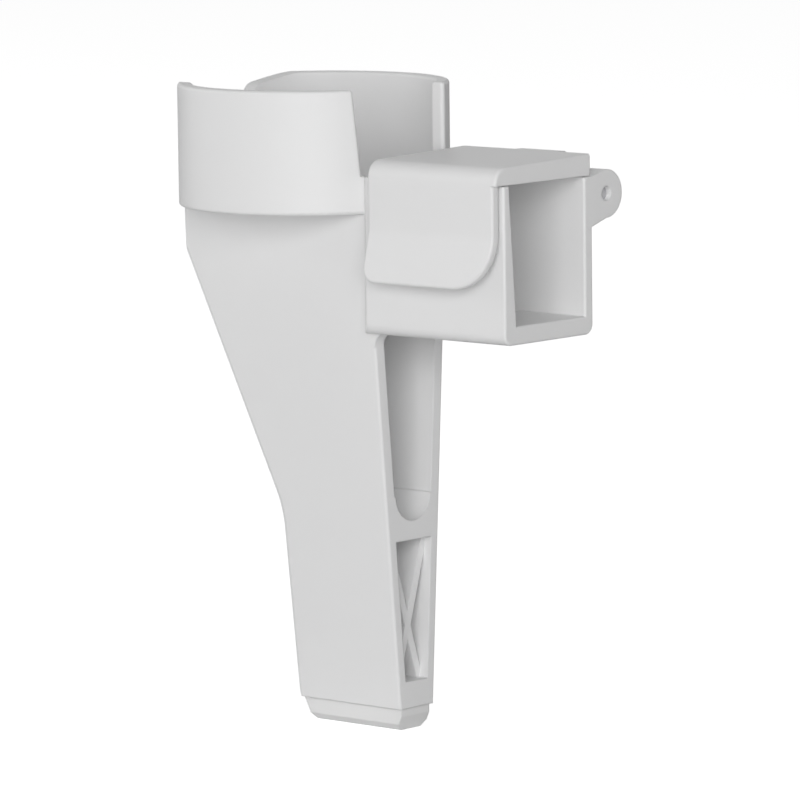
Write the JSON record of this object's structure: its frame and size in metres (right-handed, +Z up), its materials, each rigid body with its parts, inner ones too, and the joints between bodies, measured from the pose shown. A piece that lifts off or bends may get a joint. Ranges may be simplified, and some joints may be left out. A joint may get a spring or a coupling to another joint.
{
  "type": "drone landing gear leg",
  "caption": "White clip-on landing leg: a cup for the motor housing, an arm sleeve closed by a hinged latch strap, and a tapered hollow blade on a foot pad.",
  "frame": {"origin": "on the axis of the motor cup, at the level of its seat", "axes": "+Z up along the cup axis, +X inboard along the arm sleeve, -Y the side of the latch flap, +Y the side of the latch hinge"},
  "size_m": [0.046, 0.0284, 0.0672],
  "materials": {
    "white_plastic": "satin white moulded plastic",
    "strap_plastic": "satin white moulded plastic",
    "pin_steel": "drawn wire",
    "pad_plastic": "matte white moulded plastic"
  },
  "bodies": {
    "leg": {"leg_body": "white_plastic", "hinge_pin": "pin_steel", "foot_pad": "pad_plastic"},
    "strap": {"latch_strap": "strap_plastic"}
  },
  "joints": [
    {"name": "latch_hinge", "type": "hinge", "parent": "leg", "child": "strap", "pos_m": [0.024, 0.00925, 0.00115], "axis": [-1, 0, 0], "range_deg": [0, 170]}
  ]
}
